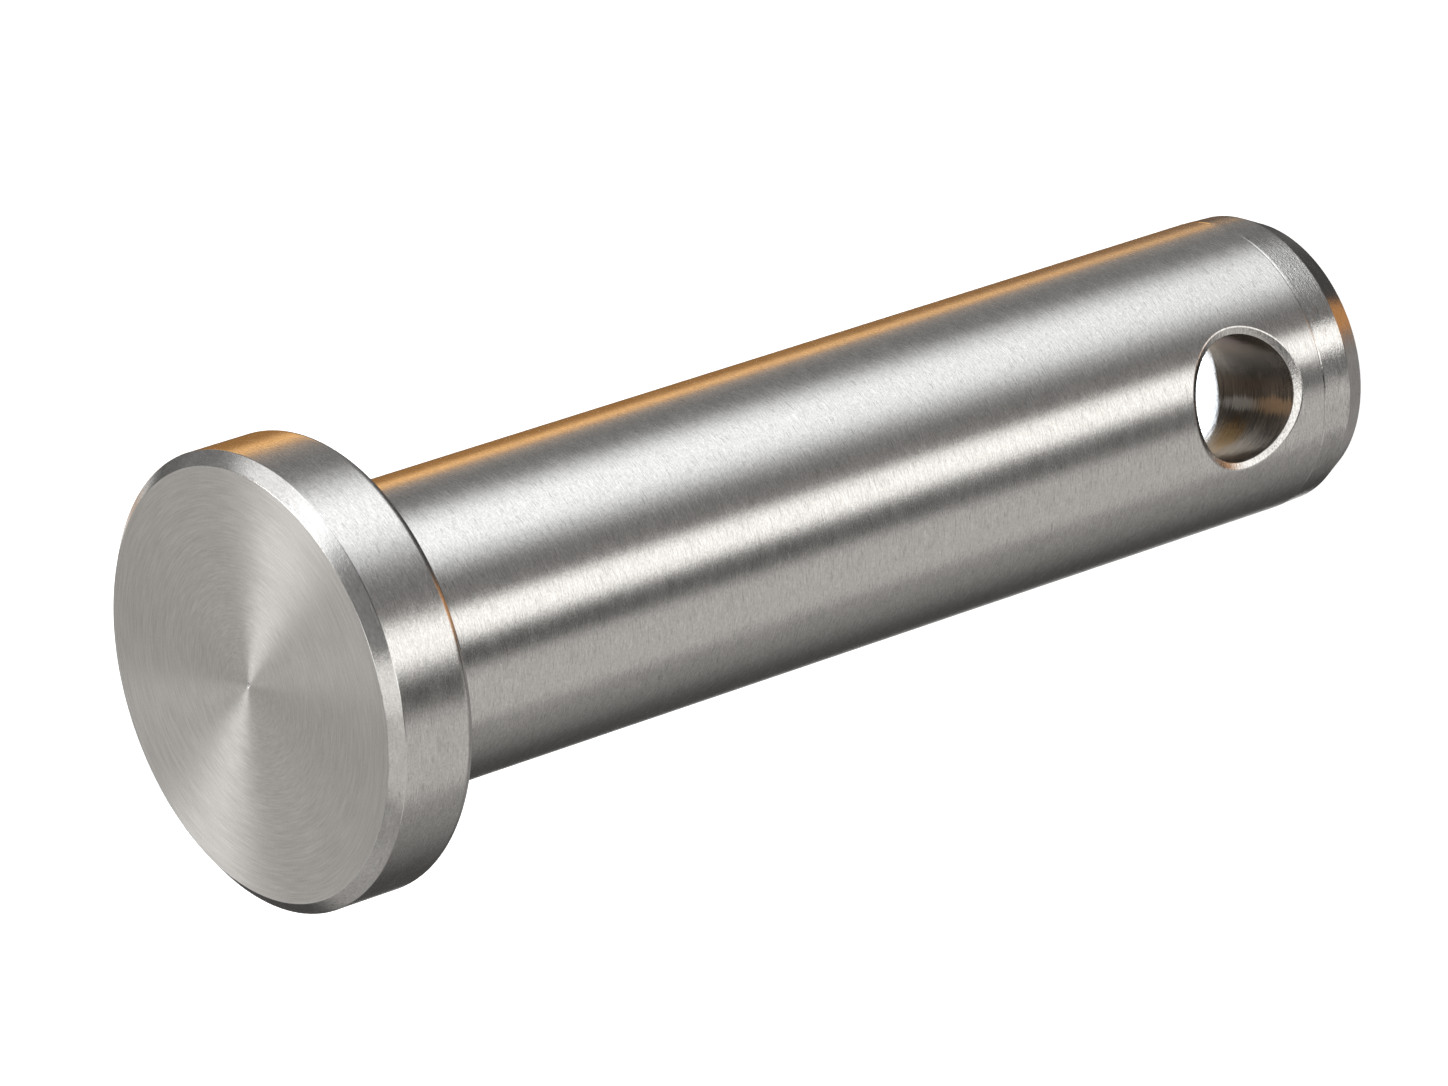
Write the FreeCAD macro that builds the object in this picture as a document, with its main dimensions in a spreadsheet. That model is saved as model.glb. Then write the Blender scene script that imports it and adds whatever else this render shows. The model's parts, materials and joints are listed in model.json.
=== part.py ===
# A clevis pin, turned in one piece from round bar and drilled across near its tip.
# The pin stands on its tip with the head up: Z runs along its axis from the tip's end
# face at Z = 0 to the head's outer face, and the cross hole lies along Y.
# All lengths are in millimetres and all angles in degrees.
import FreeCAD, Part
import math
import os

import Sketcher

PIN_NAME = "clevis_pin"
ZERO = "0"
SAMPLES = 9  # points looked at on each edge
CLOSE = 1e-4  # edges are told apart to this many millimetres

# Driving sizes: word, value, and what the size is.
SIZES = [
    ("shankDiameter", 8.0, "diameter of the working shank"),
    ("lengthUnderHead", 32.0, "from the seat under the head to the tip's end face"),
    ("headDiameter", 12.0, "diameter of the head's rim"),
    ("headThickness", 2.5, "from the seat to the head's outer face"),
    ("headBevelWidth", 0.35, "width of the outer bevel across the head's face"),
    ("headBevelDepth", 0.3, "depth of the outer bevel down the rim"),
    ("headBackRadius", 0.3, "rounding of the rim's edge on the shank side"),
    ("seatFilletRadius", 0.4, "fillet in the corner between shank and seat"),
    ("endBevelLength", 0.7, "length of the bevel at the tip, along the axis"),
    ("endBevelAngle", 25.0, "slope of the tip's bevel from the axis"),
    ("leadLength", 0.95, "length of the slight taper behind the tip's bevel"),
    ("leadDrop", 0.04, "how far the slight taper falls below the shank"),
    ("holeDiameter", 3.4, "diameter of the cross hole for a split ring or split pin"),
    ("holeToEnd", 4.3, "from the cross hole's centre to the tip's end face"),
    ("holeBreakWidth", 0.2, "edge break at each mouth of the cross hole, along the shank"),
    ("holeBreakDepth", 0.1, "edge break at each mouth of the cross hole, down the bore"),
]


def makeSheet(doc):
    """Writes the driving sizes into a spreadsheet, one named cell each."""
    sheet = doc.addObject("Spreadsheet::Sheet", "sizes")
    for row, (word, value, meaning) in enumerate(SIZES, start=1):
        sheet.set("A%d" % row, word)
        sheet.set("B%d" % row, str(value))
        sheet.set("C%d" % row, meaning)
        sheet.setAlias("B%d" % row, word)
    doc.recompute()
    return sheet


def originItem(body, role):
    """Returns the body's own origin plane or axis with the given role."""
    for item in body.Origin.OriginFeatures:
        if item.Role == role:
            return item
    raise ValueError("the body has no origin item " + role)


def planeSketch(body, name, role):
    """Adds a sketch that lies on one of the body's origin planes."""
    sketch = body.newObject("Sketcher::SketchObject", name)
    sketch.AttachmentSupport = [(originItem(body, role), "")]
    sketch.MapMode = "FlatFace"
    return sketch


def addCorners(sketch, corners):
    """Draws a closed outline through named corners and drives both places of each one."""
    points = []
    for word, across, along in corners:
        points.append(FreeCAD.Vector(readFormula(sketch, across), readFormula(sketch, along), 0))
    for index, start in enumerate(points):
        end = points[(index + 1) % len(points)]
        sketch.addGeometry(Part.LineSegment(start, end), False)
    for index in range(len(points)):
        following = (index + 1) % len(points)
        sketch.addConstraint(Sketcher.Constraint("Coincident", index, 2, following, 1))
    for index, (word, across, along) in enumerate(corners):
        driveCorner(sketch, index, "DistanceX", word + "Radius", across)
        driveCorner(sketch, index, "DistanceY", word + "Height", along)


def readFormula(sketch, formula):
    """Works out a formula of the driving sizes as a plain number."""
    return float(sketch.evalExpression(formula))


def driveCorner(sketch, index, kind, label, formula):
    """Ties one place of a corner to its formula, or to the sketch's axis where that is zero."""
    if formula == ZERO:
        axisLine = -2 if kind == "DistanceX" else -1
        sketch.addConstraint(Sketcher.Constraint("PointOnObject", index, 1, axisLine))
        return
    value = readFormula(sketch, formula)
    number = sketch.addConstraint(Sketcher.Constraint(kind, -1, 1, index, 1, value))
    sketch.renameConstraint(number, label)
    sketch.setExpression("Constraints." + label, formula)


def addOutline(body):
    """Draws half of the turned outline, from the axis outwards, with the tip at the bottom."""
    shank = "sizes.shankDiameter / 2"
    lead = shank + " - sizes.leadDrop"
    tip = lead + " - sizes.endBevelLength * tan(sizes.endBevelAngle * 1 deg)"
    rim = "sizes.headDiameter / 2"
    seat = "sizes.lengthUnderHead"
    face = seat + " + sizes.headThickness"
    sketch = planeSketch(body, "turned_outline", "XZ_Plane")
    addCorners(sketch, [
        ("tipCentre", ZERO, ZERO),
        ("tipEdge", tip, ZERO),
        ("bevelTop", lead, "sizes.endBevelLength"),
        ("leadTop", shank, "sizes.endBevelLength + sizes.leadLength"),
        ("seatCorner", shank, seat),
        ("rimBack", rim, seat),
        ("rimFront", rim, face + " - sizes.headBevelDepth"),
        ("faceEdge", rim + " - sizes.headBevelWidth", face),
        ("faceCentre", ZERO, face),
    ])
    return sketch


def circleEdge(shape, radius, height):
    """Returns the name of the full circle about the axis with this radius and height."""
    for number, edge in enumerate(shape.Edges, start=1):
        if edge.Curve.TypeId != "Part::GeomCircle":
            continue
        sameSize = abs(edge.Curve.Radius - radius) < CLOSE
        if sameSize and abs(edge.Curve.Center.z - height) < CLOSE:
            return "Edge%d" % number
    raise ValueError("no circle of radius %g at height %g" % (radius, height))


def mouthEdges(shape, radius, height):
    """Returns the names of the two curves where the cross hole leaves the shank."""
    names = []
    for number, edge in enumerate(shape.Edges, start=1):
        if edge.Curve.TypeId == "Part::GeomLine":
            continue
        points = edge.discretize(SAMPLES)
        offsets = [abs(math.hypot(point.x, point.z - height) - radius) for point in points]
        if max(offsets) < CLOSE:
            names.append("Edge%d" % number)
    return names


def addHead(doc, body, sheet, profile):
    """Turns the outline, then rounds the rim's back edge and fillets the seat's corner."""
    turned = body.newObject("PartDesign::Revolution", "turned_blank")
    turned.Profile = profile
    turned.ReferenceAxis = (profile, ["V_Axis"])
    turned.Angle = 360
    doc.recompute()

    rimBack = body.newObject("PartDesign::Fillet", "rim_back_edge")
    rimEdge = circleEdge(turned.Shape, sheet.headDiameter / 2, sheet.lengthUnderHead)
    rimBack.Base = (turned, [rimEdge])
    rimBack.setExpression("Radius", "sizes.headBackRadius")
    doc.recompute()

    seatFillet = body.newObject("PartDesign::Fillet", "seat_fillet")
    seatEdge = circleEdge(rimBack.Shape, sheet.shankDiameter / 2, sheet.lengthUnderHead)
    seatFillet.Base = (rimBack, [seatEdge])
    seatFillet.setExpression("Radius", "sizes.seatFilletRadius")
    doc.recompute()
    return seatFillet


def addCrossHole(doc, body, sheet, blank):
    """Drills the cross hole right through the shank and breaks the edge of each mouth."""
    sketch = planeSketch(body, "hole_circle", "XZ_Plane")
    centre = FreeCAD.Vector(0, sheet.holeToEnd, 0)
    sketch.addGeometry(Part.Circle(centre, FreeCAD.Vector(0, 0, 1), sheet.holeDiameter / 2), False)
    sketch.addConstraint(Sketcher.Constraint("PointOnObject", 0, 3, -2))
    height = sketch.addConstraint(
        Sketcher.Constraint("DistanceY", -1, 1, 0, 3, sheet.holeToEnd))
    sketch.renameConstraint(height, "height")
    sketch.setExpression("Constraints.height", "sizes.holeToEnd")
    across = sketch.addConstraint(Sketcher.Constraint("Diameter", 0, sheet.holeDiameter))
    sketch.renameConstraint(across, "across")
    sketch.setExpression("Constraints.across", "sizes.holeDiameter")

    hole = body.newObject("PartDesign::Pocket", "cross_hole")
    hole.Profile = sketch
    hole.Type = "ThroughAll"
    hole.Midplane = True
    doc.recompute()

    edgeBreak = body.newObject("PartDesign::Chamfer", "hole_edge_break")
    edgeBreak.Base = (hole, mouthEdges(hole.Shape, sheet.holeDiameter / 2, sheet.holeToEnd))
    edgeBreak.ChamferType = "Two distances"
    edgeBreak.setExpression("Size", "sizes.holeBreakWidth")
    edgeBreak.setExpression("Size2", "sizes.holeBreakDepth")
    doc.recompute()

    removed = blank.Shape.Volume - edgeBreak.Shape.Volume
    drilled = math.pi * (sheet.holeDiameter / 2) ** 2 * sheet.shankDiameter
    if removed < drilled / 2:
        raise ValueError("the cross hole removed %.2f cubic mm" % removed)
    return edgeBreak


def checkDocument(doc):
    """Stops with a message if any feature failed to build."""
    for item in doc.Objects:
        if "Invalid" in item.State or "Error" in item.State:
            raise ValueError("%s is %s" % (item.Name, item.State))


def buildPin():
    """Builds the whole pin and writes it as one solid."""
    doc = FreeCAD.newDocument("clevis_pin_model")
    sheet = makeSheet(doc)
    body = doc.addObject("PartDesign::Body", PIN_NAME)
    body.Label = PIN_NAME
    body.Placement = FreeCAD.Placement()
    profile = addOutline(body)
    doc.recompute()
    blank = addHead(doc, body, sheet, profile)
    body.Tip = addCrossHole(doc, body, sheet, blank)
    doc.recompute()
    checkDocument(doc)
    shape = body.Shape
    if shape.isNull() or not shape.isValid() or len(shape.Solids) != 1:
        raise ValueError("the pin is not one valid solid")
    os.makedirs("parts", exist_ok=True)
    shape.exportStep(os.path.join("parts", PIN_NAME + ".step"))
    box = shape.optimalBoundingBox()
    print("%s: volume %.3f cubic mm, box %.3f x %.3f x %.3f mm, Z from %.3f to %.3f"
          % (body.Label, shape.Volume, box.XLength, box.YLength, box.ZLength, box.ZMin, box.ZMax))


buildPin()
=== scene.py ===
# A turned stainless clevis pin, standing on its tip on a pale floor.
import json
import math

import bpy
from mathutils import Matrix, Vector


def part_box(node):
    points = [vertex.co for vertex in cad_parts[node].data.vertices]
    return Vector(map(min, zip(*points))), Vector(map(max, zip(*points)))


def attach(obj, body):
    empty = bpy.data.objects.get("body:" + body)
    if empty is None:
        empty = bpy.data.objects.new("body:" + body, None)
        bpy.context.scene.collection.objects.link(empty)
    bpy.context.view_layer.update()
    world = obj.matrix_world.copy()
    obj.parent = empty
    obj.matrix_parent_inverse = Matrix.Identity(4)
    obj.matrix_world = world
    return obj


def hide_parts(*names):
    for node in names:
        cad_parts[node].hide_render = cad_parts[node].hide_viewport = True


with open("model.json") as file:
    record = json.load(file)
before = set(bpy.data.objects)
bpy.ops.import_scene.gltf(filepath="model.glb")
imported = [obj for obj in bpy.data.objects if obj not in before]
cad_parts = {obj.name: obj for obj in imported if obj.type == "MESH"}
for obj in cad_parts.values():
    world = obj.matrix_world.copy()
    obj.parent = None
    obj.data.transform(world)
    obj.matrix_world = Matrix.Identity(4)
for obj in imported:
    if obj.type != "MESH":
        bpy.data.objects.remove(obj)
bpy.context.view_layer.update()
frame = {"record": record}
nodeName = "clevis_pin"
mounts = {mount["name"]: mount for mount in frame["record"]["mounts"]}
print("frame loaded")


# The pin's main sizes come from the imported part, and the small ones are repeated here.
mm = 0.001
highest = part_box(nodeName)[1]
pin = {
    "length": highest[2],
    "rimRadius": highest[0],
    "seatHeight": mounts["head_seat"]["pos_m"][2],
    "shankRadius": mounts["shank"]["dims"]["r_mm"] * mm,
    "headBevelWidth": 0.35 * mm,
    "headBevelDepth": 0.3 * mm,
    "headBackRadius": 0.3 * mm,
    "seatFillet": 0.4 * mm,
    "tipBevelLength": 0.7 * mm,
    "tipBevelSlope": math.radians(25),
    "leadLength": 0.95 * mm,
    "leadDrop": 0.04 * mm,
    "centreMarkRadius": 0.07 * mm,
    "centreMarkDepth": 0.05 * mm,
    "edgeRound": 0.035 * mm,     # every turned corner is broken this much by polishing
    "leadMarkWidth": 0.045 * mm, # a fine tool mark where the slight taper begins
    "leadMarkDepth": 0.007 * mm,
    "holdingGap": 0.05 * mm,     # rings this close to a corner keep the shading crisp
    "stepsAround": 320,
    "arcStep": math.radians(6),  # the most that one flat of a small arc turns
    "creaseAngle": math.radians(10.5),
    "nearEnough": 0.002 * mm,    # a point this near the round wall lies on it
}


def startFresh():
    # an operator acts on all that is selected, so each step begins with nothing selected
    if bpy.context.object and bpy.context.object.mode != "OBJECT":
        bpy.ops.object.mode_set(mode="OBJECT")
    bpy.ops.object.select_all(action="DESELECT")


def pick(piece):
    startFresh()
    piece.select_set(True)
    bpy.context.view_layer.objects.active = piece


def extrudeRing(rise, share):
    # the last ring is carried up and scaled about the axis
    bpy.ops.mesh.extrude_region_move(TRANSFORM_OT_translate={"value": (0, 0, rise)})
    bpy.ops.transform.resize(value=(share, share, 1), center_override=(0, 0, 0))


def faceOutwards():
    bpy.ops.mesh.select_all(action="SELECT")
    bpy.ops.mesh.normals_make_consistent(inside=False)
    bpy.ops.object.mode_set(mode="OBJECT")


def roundedCorner(before, corner, after, radius):
    # points of the small arc that replaces a corner of the outline
    toBefore = (before - corner).normalized()
    toAfter = (after - corner).normalized()
    halfAngle = toBefore.angle(toAfter) / 2
    reach = radius / math.tan(halfAngle)
    start = corner + toBefore * reach
    end = corner + toAfter * reach
    turn = math.pi - 2 * halfAngle
    steps = max(2, math.ceil(turn / pin["arcStep"]))
    centre = corner + (toBefore + toAfter).normalized() * (radius / math.sin(halfAngle))
    points = []
    for step in range(steps + 1):
        swept = turn * step / steps
        arm = (start - centre) * math.sin(turn - swept) + (end - centre) * math.sin(swept)
        points.append(centre + arm.normalized() * radius)
    return points


def roundedOutline(corners, gap):
    # straight stretches get holding points at both ends
    places = [Vector((across, along)) for across, along, radius in corners]
    stretches = [[places[0]]]
    for index in range(1, len(corners) - 1):
        before, corner, after = places[index - 1:index + 2]
        stretches.append(roundedCorner(before, corner, after, corners[index][2]))
    stretches.append([places[-1]])
    points = list(stretches[0])
    for arc in stretches[1:]:
        start, end = points[-1], arc[0]
        run = end - start
        if run.length > 4 * gap:   # a shorter stretch needs no holding points
            if len(points) > 1:
                points.append(start + run.normalized() * gap)
            if len(arc) > 1:
                points.append(end - run.normalized() * gap)
        points += arc
    return points


def turnSolid(name, outline, stepsAround):
    # a disc is added at the outline's second point, then extruded and scaled ring by ring
    startFresh()
    first = outline[1]
    bpy.ops.mesh.primitive_circle_add(
        vertices=stepsAround, radius=first.x, fill_type="NGON", location=(0, 0, first.y))
    solid = bpy.context.object
    solid.name = name
    bpy.ops.object.mode_set(mode="EDIT")
    bpy.ops.mesh.select_all(action="SELECT")
    here = first
    for point in outline[2:-1]:
        extrudeRing(point.y - here.y, point.x / here.x)
        here = point
    faceOutwards()
    bpy.ops.object.transform_apply(location=True, rotation=True, scale=True)
    return solid


def makeBlank():
    rim, shank, top = pin["rimRadius"], pin["shankRadius"], pin["length"]
    lead = shank - pin["leadDrop"]
    tipRadius = lead - pin["tipBevelLength"] * math.tan(pin["tipBevelSlope"])
    leadTop = pin["tipBevelLength"] + pin["leadLength"]
    small, markWidth = pin["edgeRound"], pin["leadMarkWidth"]
    soft, crisp = small * 2, small / 4
    markRadius, markFloor = pin["centreMarkRadius"], top - pin["centreMarkDepth"]
    # (across, along, rounding), from the middle of the tip to the middle of the head
    corners = [
        (0, 0, 0),
        (tipRadius, 0, small),
        (lead, pin["tipBevelLength"], soft),
        (shank, leadTop - markWidth, small),
        (shank - pin["leadMarkDepth"], leadTop, crisp),
        (shank, leadTop + markWidth / 2, crisp),
        (shank, pin["seatHeight"], pin["seatFillet"]),
        (rim, pin["seatHeight"], pin["headBackRadius"]),
        (rim, top - pin["headBevelDepth"], small),
        (rim - pin["headBevelWidth"], top, small),
        (markRadius, top, small),
        (markRadius / 3, markFloor, small / 2),
        (0, markFloor, 0),
    ]
    outline = roundedOutline(corners, pin["holdingGap"])
    above = hole["height"] + hole["clearOfWall"]
    place = next(i for i, point in enumerate(outline) if point.y > above)
    outline.insert(place, Vector((shank, above)))
    return turnSolid("clevisPin", outline, pin["stepsAround"])


# The cross hole is drilled along Y and its two mouths are deburred by hand.
hole = {
    "radius": mounts["cross_hole"]["dims"]["r_mm"] * mm,
    "height": mounts["cross_hole"]["pos_m"][2],
    "breakWidth": 0.2 * mm,
    "breakDepth": 0.14 * mm,
    "innerRound": 0.05 * mm,
    "lipStart": (0.92, 0.08),    # where the outer lip curls over, as shares of width and depth
    "lipEnd": (1.4, 0.12),
    "clearOfWall": 2.4 * mm,     # a ring this far above the hole keeps the long faces short
    "ringSlack": 0.1 * mm,
    "wallDepth": 1 * mm,         # below this the drill is a plain cylinder
    "overrun": 0.5 * mm,
    "stepsAround": 144,
}


def makeDrill():
    # (radius, height above the shank's surface); each side's last ring is flat and clear of it
    radius, width, depth = hole["radius"], hole["breakWidth"], hole["breakDepth"]
    mouth = [Vector((radius, -hole["wallDepth"]))]
    mouth += roundedCorner(mouth[0], Vector((radius, -depth)),
                           Vector((radius + width, 0)), hole["innerRound"])
    (startAcross, startDown), (endAcross, endUp) = hole["lipStart"], hole["lipEnd"]
    mouth.append(Vector((radius + width * startAcross, -depth * startDown)))
    mouth.append(Vector((radius + width * endAcross, depth * endUp)))
    mouth.append(Vector((radius + width * endAcross, hole["overrun"])))
    stations = [(-1, point) for point in reversed(mouth)] + [(1, point) for point in mouth]
    startFresh()
    bpy.ops.mesh.primitive_circle_add(
        vertices=hole["stepsAround"], radius=mouth[-1].x, fill_type="NGON")
    drill = bpy.context.object
    drill.name = "drill"
    bpy.ops.object.mode_set(mode="EDIT")
    bpy.ops.mesh.select_all(action="SELECT")
    # the rings are stacked one unit apart, so that a point's height gives its ring's number
    here = mouth[-1]
    for side, point in stations[1:]:
        extrudeRing(1, point.x / here.x)
        here = point
    bpy.ops.object.mode_set(mode="OBJECT")
    # each ring is laid round the hole's axis, following the curve of the shank
    for vertex in drill.data.vertices:
        side, point = stations[round(vertex.co.z)]
        surface = math.sqrt(pin["shankRadius"] ** 2 - vertex.co.x ** 2)
        if point.y == hole["overrun"]:
            surface = pin["shankRadius"]
        vertex.co = (vertex.co.x, side * (surface + point.y), vertex.co.y + hole["height"])
    bpy.ops.object.mode_set(mode="EDIT")
    faceOutwards()
    return drill


def drillHole(blank, drill):
    pick(blank)
    cut = blank.modifiers.new("crossHole", "BOOLEAN")
    cut.operation = "DIFFERENCE"
    cut.solver = "EXACT"
    cut.object = drill
    bpy.ops.object.modifier_apply(modifier=cut.name)
    bpy.data.objects.remove(drill, do_unlink=True)


def finishShape(piece):
    pick(piece)
    bpy.ops.object.shade_smooth_by_angle(angle=pin["creaseAngle"], keep_sharp_edges=True)


def evenShading(piece):
    # the hole leaves long faces in the shank, so their corners get the round wall's normals
    mesh = piece.data
    normals = [Vector((0, 0, 0))] * len(mesh.loops)   # a zero leaves a corner's normal as it is
    under = pin["tipBevelLength"] + pin["leadLength"] + pin["holdingGap"]
    over = hole["height"] + hole["clearOfWall"] + hole["ringSlack"]
    for face in mesh.polygons:
        spots = [mesh.vertices[index].co for index in face.vertices]
        if not all(under < spot.z < over for spot in spots):
            continue
        offWall = [abs(math.hypot(spot.x, spot.y) - pin["shankRadius"]) for spot in spots]
        if max(offWall) >= pin["nearEnough"]:
            continue
        for loop in face.loop_indices:
            spot = mesh.vertices[mesh.loops[loop].vertex_index].co
            normals[loop] = Vector((spot.x, spot.y, 0)).normalized()
    mesh.normals_split_custom_set(normals)


clevisPin = makeBlank()
drillHole(clevisPin, makeDrill())
finishShape(clevisPin)
evenShading(clevisPin)
print("pin turned and drilled:", len(clevisPin.data.polygons), "faces")


# Materials: one stainless steel, its cut differing from place to place; the bore adds painted
# shade and glints.
def addNode(tree, kind, **values):
    node = tree.nodes.new(kind)
    for word, value in values.items():
        setattr(node, word, value)
    return node


def setSocket(tree, socket, value):
    # a number or a colour is written on the socket, and another node's output is linked to it
    if isinstance(value, tuple):
        socket.default_value = (*value, 1)
    elif isinstance(value, (int, float)):
        socket.default_value = value
    else:
        tree.links.new(value, socket)


def useMath(tree, operation, first, second=None, third=None):
    node = addNode(tree, "ShaderNodeMath", operation=operation)
    for socket, value in zip(node.inputs, (first, second, third)):
        if value is not None:
            setSocket(tree, socket, value)
    return node.outputs[0]


def hypotenuse(tree, first, second):
    squares = [useMath(tree, "MULTIPLY", side, side) for side in (first, second)]
    return useMath(tree, "SQRT", useMath(tree, "ADD", *squares))


def blend(tree, first, second, share):
    # this share of the first, and the second for the rest
    return useMath(tree, "ADD", useMath(tree, "MULTIPLY", first, share),
                   useMath(tree, "MULTIPLY", second, 1 - share))


def useRange(tree, value, source, target, smooth=False):
    node = addNode(tree, "ShaderNodeMapRange", clamp=True)
    if smooth:
        node.interpolation_type = "SMOOTHSTEP"
    words = ("Value", "From Min", "From Max", "To Min", "To Max")
    for word, setting in zip(words, (value, *source, *target)):
        setSocket(tree, node.inputs[word], setting)
    return node.outputs["Result"]


colourMix = {"inputs": (0, 6, 7), "output": 2}   # the mix node's sockets for colours


def mixColours(tree, share, low, high, label=""):
    node = addNode(tree, "ShaderNodeMix", data_type="RGBA", label=label)
    for index, value in zip(colourMix["inputs"], (share, low, high)):
        setSocket(tree, node.inputs[index], value)
    return node.outputs[colourMix["output"]]


def surfacePoint(tree):
    # the place on the pin, in millimetres
    split = addNode(tree, "ShaderNodeSeparateXYZ")
    setSocket(tree, split.inputs[0], addNode(tree, "ShaderNodeTexCoord").outputs["Object"])
    return [useMath(tree, "MULTIPLY", part, 1 / mm) for part in split.outputs]


# Each mark is a noise: how much quicker it runs across the cut than along it, then its scale,
# detail and roughness.
marks = {
    "arcs": (4, 5, 1, 0.7),
    "grit": (1, 14, 2, 0.7),
    "slowArcs": (1.5, 0.9, 2, 0.55),
    "arcShare": 0.65,            # the rest is grit
    "streaks": (5, 5, 2, 0.6),
    "grain": (1.6, 15, 2, 0.7),
    "scratches": (9, 3.2, 0, 0.55),
    "slowSide": (2, 1.6, 3, 0.6),
    "streakShare": 0.45,         # the rest is grain
    "lightScratch": ((0.69, 0.78), 0.12),
    "darkScratch": ((0.31, 0.22), 0.16),
    "drillRings": (11, 1.4, 3, 0.7),
    "slowBore": (2, 0.9, 3, 0.55),
    "middle": 0.5,               # the fine noises gather round this
    "cloudRange": (0.3, 0.7),    # and the slow ones seldom leave these limits
    "clearOfAxis": 0.02,         # the arcs' smallest radius, in millimetres
    "brushTurn": 0.25,           # the brushing lies a quarter turn from the tangent
    "spotFade": (0.4, 1.2),      # where a spot begins and ends to fade, as shares of its reach
    "spotFray": 2,
}


def useMark(tree, word, point, quick):
    # quick says which part of the point runs across the cut: 0 for x, 1 for y, 2 for z
    stretch, scale, detail, roughness = marks[word]
    point = list(point)
    point[quick] = useMath(tree, "MULTIPLY", point[quick], stretch)
    place = addNode(tree, "ShaderNodeCombineXYZ")
    for socket, part in zip(place.inputs, point):
        setSocket(tree, socket, part)
    node = addNode(tree, "ShaderNodeTexNoise", noise_dimensions="3D")
    tree.links.new(place.outputs[0], node.inputs["Vector"])
    node.inputs["Scale"].default_value = scale
    node.inputs["Detail"].default_value = detail
    node.inputs["Roughness"].default_value = roughness
    return node.outputs["Fac"]


# Each of the next three gives the fine marks of a cut and its slow cloudiness, from 0 to 1.
def ringMarks(tree):
    # short concentric marks on a faced end, quick along the radius and slow round it
    x, y, z = surfacePoint(tree)
    radius = useMath(tree, "MAXIMUM", hypotenuse(tree, x, y), marks["clearOfAxis"])
    turned = (useMath(tree, "DIVIDE", x, radius), useMath(tree, "DIVIDE", y, radius), radius)
    arcs = useMark(tree, "arcs", turned, quick=2)
    grit = useMark(tree, "grit", (x, y, z), quick=2)
    fine = blend(tree, arcs, grit, marks["arcShare"])
    return fine, useMark(tree, "slowArcs", turned, quick=2)


def sideMarks(tree):
    # short scratches round a turned side, over a fine grain, and a few longer ones
    point = surfacePoint(tree)
    streaks = useMark(tree, "streaks", point, quick=2)
    grain = useMark(tree, "grain", point, quick=2)
    fine = blend(tree, streaks, grain, marks["streakShare"])
    scratches = useMark(tree, "scratches", point, quick=2)
    for word, operation in (("lightScratch", "ADD"), ("darkScratch", "SUBTRACT")):
        limits, depth = marks[word]
        shown = useMath(tree, "MULTIPLY", useRange(tree, scratches, limits, (0, 1)), depth)
        fine = useMath(tree, operation, fine, shown)
    return fine, useMark(tree, "slowSide", point, quick=2)


def boreMarks(tree):
    # rings left by the drill, round the hole's own axis
    x, y, z = surfacePoint(tree)
    point = (x, y, useMath(tree, "SUBTRACT", z, hole["height"] / mm))
    fine = useMark(tree, "drillRings", point, quick=1)
    return fine, useMark(tree, "slowBore", point, quick=1)


def addPaintedSpot(tree, colour, fine, spot):
    # a patch of painted shade, painted reflection or painted glint in the bore, as its tone
    # gives, frayed by the drill's rings
    across, along, reachAcross, reachAlong, tone, share = spot
    x, y = surfacePoint(tree)[:2]
    sideways = useMath(tree, "DIVIDE", useMath(tree, "SUBTRACT", x, across), reachAcross)
    deeper = useMath(tree, "DIVIDE", useMath(tree, "SUBTRACT", y, along), reachAlong)
    away = hypotenuse(tree, sideways, deeper)
    fray = marks["spotFray"]
    frayed = useMath(tree, "MULTIPLY_ADD", fine, -fray, useMath(tree, "ADD", away, fray / 2))
    cover = useRange(tree, frayed, marks["spotFade"], (share, 0), smooth=True)
    return mixColours(tree, cover, colour, tone)


def steel(name, cut):
    material = bpy.data.materials.new(name)
    material.use_nodes = True
    tree = material.node_tree
    fine, cloud = cut["marks"](tree)
    both = blend(tree, fine, cloud, cut["fineShare"])
    limits = (marks["middle"] - cut["spread"], marks["middle"] + cut["spread"])
    shade = useRange(tree, both, limits, (0, 1))
    colour = mixColours(tree, shade, cut["dark"], cut["light"])
    for spot in cut.get("spots", ()):
        colour = addPaintedSpot(tree, colour, fine, spot)
    bump = addNode(tree, "ShaderNodeBump")
    bump.inputs["Strength"].default_value = cut["bumpStrength"]
    bump.inputs["Distance"].default_value = cut["bumpDepth"] * mm
    tree.links.new(fine, bump.inputs["Height"])
    look = {
        "Base Color": colour,
        "Metallic": cut.get("metallic", 1),
        "Specular Tint": cut.get("edgeTint", (1, 1, 1)),
        "Roughness": useRange(tree, cloud, marks["cloudRange"], cut["roughness"]),
        "Normal": bump.outputs["Normal"],
    }
    if "anisotropy" in cut:
        tangent = addNode(tree, "ShaderNodeTangent", direction_type="RADIAL", axis="Z")
        look["Anisotropic"] = cut["anisotropy"]
        look["Anisotropic Rotation"] = marks["brushTurn"]
        look["Tangent"] = tangent.outputs["Tangent"]
    shader = tree.nodes["Principled BSDF"]
    for word, value in look.items():
        setSocket(tree, shader.inputs[word], value)
    return material


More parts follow.
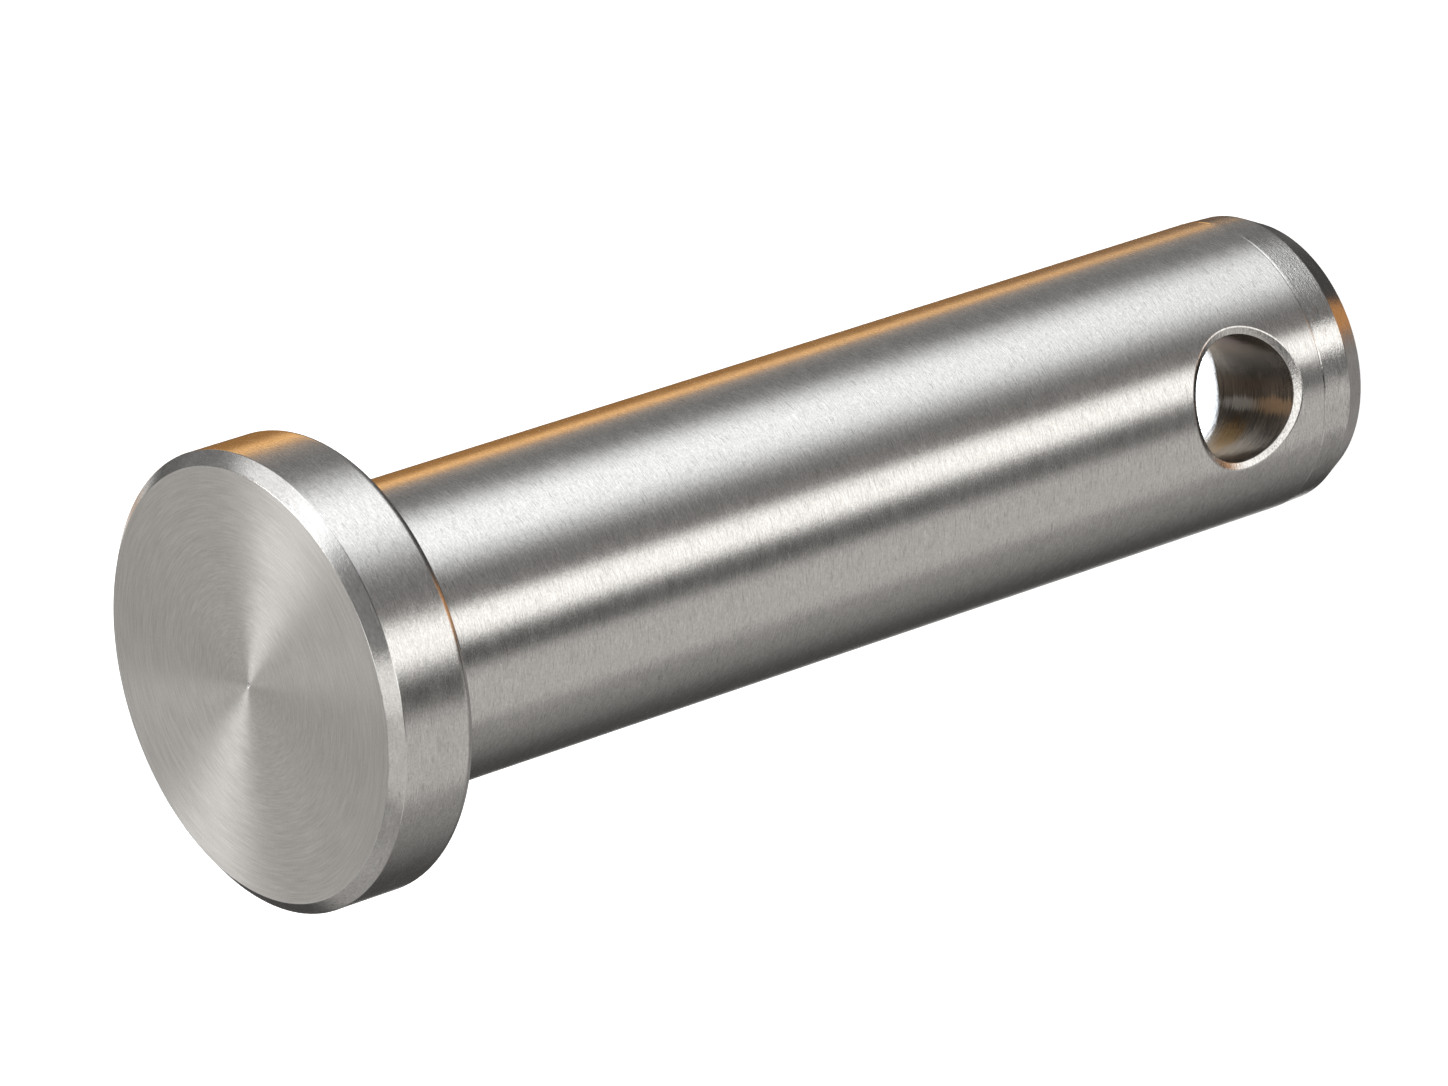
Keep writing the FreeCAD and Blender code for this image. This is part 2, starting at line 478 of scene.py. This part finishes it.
# Colours go from dark to light over the spread of the marks, and bump depths are in millimetres.
cuts = {
    "turnedSide": {
        "marks": sideMarks, "fineShare": 0.85, "spread": 0.19, "roughness": (0.19, 0.23),
        "dark": (0.46, 0.455, 0.445), "light": (0.79, 0.785, 0.775),
        "bumpStrength": 0.5, "bumpDepth": 0.005, "anisotropy": 0.5,
    },
    "scrapedLead": {
        "marks": sideMarks, "fineShare": 0.8, "spread": 0.15, "roughness": (0.1, 0.16),
        "dark": (0.46, 0.455, 0.445), "light": (0.8, 0.795, 0.785),
        "bumpStrength": 0.8, "bumpDepth": 0.006,
    },
    "facedEnd": {
        "marks": ringMarks, "fineShare": 0.8, "spread": 0.24, "roughness": (0.4, 0.44),
        "dark": (0.47, 0.46, 0.445), "light": (0.7, 0.69, 0.67),
        "bumpStrength": 0.7, "bumpDepth": 0.004, "anisotropy": 0.85,
    },
    "brightBevel": {
        "marks": sideMarks, "fineShare": 0.7, "spread": 0.17, "roughness": (0.11, 0.18),
        "dark": (0.56, 0.555, 0.545), "light": (0.82, 0.815, 0.805),
        "bumpStrength": 0.5, "bumpDepth": 0.006,
    },
    "brokenEdge": {
        "marks": sideMarks, "fineShare": 0.8, "spread": 0.2, "roughness": (0.14, 0.24),
        "dark": (0.42, 0.41, 0.4), "light": (0.86, 0.85, 0.835),
        "bumpStrength": 0.8, "bumpDepth": 0.01,
    },
    "boreWithPaintedShade": {
        "marks": boreMarks, "fineShare": 0.75, "spread": 0.2, "roughness": (0.14, 0.24),
        # the bore's colours are painted shade: far darker and browner than the turned steel
        "dark": (0.08, 0.07, 0.06), "light": (0.34, 0.3, 0.26),
        "bumpStrength": 0.55, "bumpDepth": 0.012,
        "metallic": 0.7, "edgeTint": (0.3, 0.25, 0.2),
        # the bore's spots are painted light and shade, one with a heat tint as well
        "spots": (   # x, y and reach along each in millimetres, then tone and share
            # painted shade: a dark patch on the bore's +X side
            (0.9, -2.3, 0.9, 1.45, (0.06, 0.052, 0.047), 0.85),
            # heat tint that is also a painted golden reflection, on the bore's -X side
            (-1.3, -1.75, 0.4, 0.68, (0.15, 0.085, 0.028), 0.85),
            # painted glint: a pale streak along the bore
            (-0.62, -1.8, 0.2, 0.95, (0.7, 0.68, 0.65), 0.8),
            # painted glint: the streak's orange end, nearer the -Y mouth
            (-0.62, -3.2, 0.25, 1.1, (0.62, 0.42, 0.26), 0.75),
        ),
    },
}

# What tells the cuts apart: how far a face looks away from the pin's axis, or along it.
cutLimits = {
    "boreReach": 0.01 * mm,      # reaches are from the hole's wall
    "boreOutward": 0.5,
    "mouthReach": 2 * hole["breakWidth"],
    "mouthOutward": 0.995,
    "facedUpright": 0.98,
    "bevelUpright": 0.3,
}


def cutOf(centre, normal):
    # which cut a face carries, from its place and the way it looks
    fromAxis = math.hypot(centre.x, centre.y)
    fromWall = math.hypot(centre.x, centre.z - hole["height"]) - hole["radius"]
    outward = (normal.x * centre.x + normal.y * centre.y) / max(fromAxis, mm)
    if fromWall < cutLimits["boreReach"] and outward < cutLimits["boreOutward"]:
        return "boreWithPaintedShade"
    if fromWall < cutLimits["mouthReach"] and outward < cutLimits["mouthOutward"]:
        return "brokenEdge"
    if abs(normal.z) > cutLimits["facedUpright"]:
        return "facedEnd"
    if abs(normal.z) > cutLimits["bevelUpright"]:
        return "brightBevel"
    if centre.z < pin["tipBevelLength"] + pin["leadLength"]:
        return "scrapedLead"
    return "turnedSide"


def dressPin(piece):
    order = list(cuts)
    piece.data.materials.clear()
    for name, cut in cuts.items():
        piece.data.materials.append(steel(name, cut))
    for face in piece.data.polygons:
        face.material_index = order.index(cutOf(face.center, face.normal))


dressPin(clevisPin)
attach(clevisPin, "root")
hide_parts(nodeName)
print("pin dressed")


# The room. The pin mirrors it, so each soft panel stands where a tone shows on the pin.
# A panel is (towards, half width, soft side, lean, low, high, soft end, colour, strength).
# Directions are compass angles from +X and heights above the floor, in degrees. Each panel
# covers those before it, fades over its soft edges, and leans sideways with its height.
room = {
    "shade": (0.075, 0.072, 0.07),
    "haze": (1.0, 1.0, 1.0),     # past the floor's edge the eye meets the floor's own pale tone
    "cosineGuard": 0.99999,      # keeps the arc cosine inside its limits
    "panels": {
        "dimWall": (-30, 105, 40, 0, -55, 75, 20, (1.0, 0.98, 0.96), 0.24),
        "blackFlag": (-52, 14, 14, 0, -8, 50, 16, (1.0, 0.98, 0.96), 0.06),
        "backWall": (-172, 36, 50, 0, 8, 80, 50, (1.0, 0.97, 0.93), 0.7),
        "leftWall": (-160, 38, 56, -0.2, -62, 80, 20, (1.0, 0.97, 0.93), 0.35),
        "greyWall": (-140, 21.5, 10, -0.1, -60, 66, 16, (1.0, 0.965, 0.93), 0.63),
        "darkGap": (-110, 7, 8, -0.2, -38.5, 20, 3, (1.0, 0.98, 0.96), 0.06),
        "floorGlow": (165, 60, 40, 0, -95, -48, 14, (1.0, 0.96, 0.93), 0.28),
        "backGlow": (68, 6.5, 4, -1.2, -42, -10, 8, (1.0, 0.99, 0.97), 0.95),
        "faceCard": (112, 35, 28, 0, 9, 62, 18, (1.0, 0.97, 0.94), 0.62),
        "topCard": (0, 180, 10, 0, 80, 100, 6, (1.0, 0.99, 0.98), 3.0),
        "crossCard": (68, 8, 10, 0, 46, 67, 10, (1.0, 0.98, 0.96), 8.5),
        "coolPanel": (-3, 22.5, 32, 0.28, -42.2, 66, 2.5, (0.985, 0.99, 1.0), 1.62),
        "coolWing": (30, 15, 20, 0.0, 18, 42, 14, (1.0, 0.99, 0.98), 1.15),
        "warmStrip": (-87.5, 11, 11, -0.2, -76, 71, 8, (1.0, 0.98, 0.95), 1.6),
        "warmCap": (-106, 18, 12, 0, 54, 72, 8, (1.0, 0.975, 0.94), 1.0),
        "amberSide": (-68, 20, 10, 0, -76, -56, 5, (1.0, 0.5, 0.2), 0.9),
        "paleShoulder": (50, 6, 10, 0, -40, -18, 6, (1.0, 0.88, 0.78), 0.42),
        "amberEdge": (76, 19, 16, 0, -39, -15, 6, (1.0, 0.48, 0.15), 0.36),
        "amberCard": (61.5, 5, 10, 0, -39.5, -18, 4, (1.0, 0.56, 0.22), 1.55),
        "amberFloor": (0, 120, 100, 0, -100, -81, 4, (1.0, 0.48, 0.18), 0.6),
    },
}


def softEdge(tree, angle, edge, soft, before, after):
    # changes smoothly from the value before the edge to the one after it
    ends = [math.radians(edge + side * soft / 2) for side in (-1, 1)]
    return useRange(tree, angle, ends, (before, after), smooth=True)


def panelShare(tree, compass, height, panel):
    # how much of the panel stands in that direction, from 0 to 1
    towards, halfWidth, softSide, lean, low, high, softEnd = panel[:-2]
    middle = useMath(tree, "MULTIPLY_ADD", height, lean, math.radians(towards))
    turned = useMath(tree, "COSINE", useMath(tree, "SUBTRACT", compass, middle))
    away = useMath(tree, "ARCCOSINE", useMath(tree, "MULTIPLY", turned, room["cosineGuard"]))
    side = softEdge(tree, away, halfWidth, softSide, 1, 0)
    under = softEdge(tree, height, low, softEnd, 0, 1)
    over = softEdge(tree, height, high, softEnd, 1, 0)
    return useMath(tree, "MULTIPLY", side, useMath(tree, "MULTIPLY", under, over))


def makeRoom():
    world = bpy.data.worlds.new("room")
    bpy.context.scene.world = world
    world.use_nodes = True
    world.cycles.sampling_method = "NONE"   # the steel's own mirroring finds the soft panels
    tree = world.node_tree
    tree.nodes.clear()
    split = addNode(tree, "ShaderNodeSeparateXYZ")
    setSocket(tree, split.inputs[0], addNode(tree, "ShaderNodeTexCoord").outputs["Generated"])
    x, y, z = split.outputs
    compass = useMath(tree, "ARCTAN2", y, x)
    height = useMath(tree, "ARCTAN2", z, hypotenuse(tree, x, y))
    total = room["shade"]
    for name, panel in room["panels"].items():
        colour, strength = panel[-2:]
        lit = tuple(tone * strength for tone in colour)
        total = mixColours(tree, panelShare(tree, compass, height, panel), total, lit, name)
    light = addNode(tree, "ShaderNodeBackground")
    pale = addNode(tree, "ShaderNodeBackground")
    setSocket(tree, light.inputs["Color"], total)
    setSocket(tree, pale.inputs["Color"], room["haze"])
    seen = addNode(tree, "ShaderNodeLightPath").outputs["Is Camera Ray"]
    choose = addNode(tree, "ShaderNodeMixShader")
    for socket, value in zip(choose.inputs, (seen, light.outputs[0], pale.outputs[0])):
        tree.links.new(value, socket)
    out = addNode(tree, "ShaderNodeOutputWorld")
    tree.links.new(choose.outputs[0], out.inputs["Surface"])


# Small lamps behind the pin shine in at the hole's far mouth, each to the same depth.
boreLamps = {
    "turns": (120, 108, 96, 84, 72, 60, 48, 36, 24),   # degrees round the hole
    "litDepth": 4.65 * mm,
    "distance": 0.6,             # metres, like the size
    "size": 0.006,
    "watts": 60.0,
    "colour": (0.68, 0.82, 1.0),
}


def makeBoreLamps():
    lit = bpy.data.collections.new("litByBoreLamps")
    lit.objects.link(clevisPin)
    aim = Vector((0, 0, hole["height"]))
    slope = boreLamps["litDepth"] / (2 * hole["radius"])
    for turn in boreLamps["turns"]:
        startFresh()
        around = math.radians(turn)
        away = Vector((math.cos(around), slope, math.sin(around))).normalized()
        bpy.ops.object.light_add(type="AREA", location=aim + away * boreLamps["distance"])
        lamp = bpy.context.object
        lamp.name = "boreLamp%d" % turn
        lamp.rotation_euler = away.to_track_quat("Z", "Y").to_euler()
        lamp.data.shape = "DISK"
        lamp.data.size = boreLamps["size"]
        lamp.data.energy = boreLamps["watts"]
        lamp.data.color = boreLamps["colour"]
        lamp.visible_glossy = False
        lamp.visible_camera = False
        lamp.light_linking.receiver_collection = lit


floorLook = {
    "size": 3.0,
    "colour": (0.9, 0.9, 0.9),
    "roughness": 0.9,
    "glow": 0.72,
}


def makeFloor():
    startFresh()
    bpy.ops.mesh.primitive_plane_add(size=floorLook["size"], location=(0, 0, 0))
    floor = bpy.context.object
    floor.name = "floor"
    material = bpy.data.materials.new("paleFloor")
    material.use_nodes = True
    tree = material.node_tree
    look = {
        "Base Color": floorLook["colour"],
        "Roughness": floorLook["roughness"],
        "Specular IOR Level": 0,
        "Emission Color": (1, 1, 1),
        "Emission Strength": floorLook["glow"],
    }
    for word, value in look.items():
        setSocket(tree, tree.nodes["Principled BSDF"].inputs[word], value)
    floor.data.materials.append(material)
    # the steel mirrors the room and not the bare floor, as if lit on a light table
    floor.visible_glossy = False
    floor.visible_shadow = False


makeFloor()
makeRoom()
makeBoreLamps()
print("room lit")


# The camera looks down on the head, rolled so that the tip points to the upper right.
camera = {
    "eye": (0.052562, -0.201225, 0.170455),
    "right": (-0.15889, -0.61966, -0.76862),
    "down": (-0.96566, -0.06455, 0.25166),
    "lens": 247.67,
    "sensor": 36,
    "nearest": 0.01,
    "farthest": 10,
}


def makeCamera():
    startFresh()
    bpy.ops.object.camera_add(location=camera["eye"])
    eye = bpy.context.object
    eye.name = "eye"
    right = Vector(camera["right"])
    up = -Vector(camera["down"])
    back = right.cross(up)
    turned = Matrix((right, up, back)).transposed().to_4x4()
    eye.matrix_world = Matrix.Translation(Vector(camera["eye"])) @ turned
    eye.data.lens = camera["lens"]
    eye.data.sensor_width = camera["sensor"]
    eye.data.clip_start = camera["nearest"]
    eye.data.clip_end = camera["farthest"]
    bpy.context.scene.camera = eye


makeCamera()
bpy.context.scene.view_settings.view_transform = "Standard"
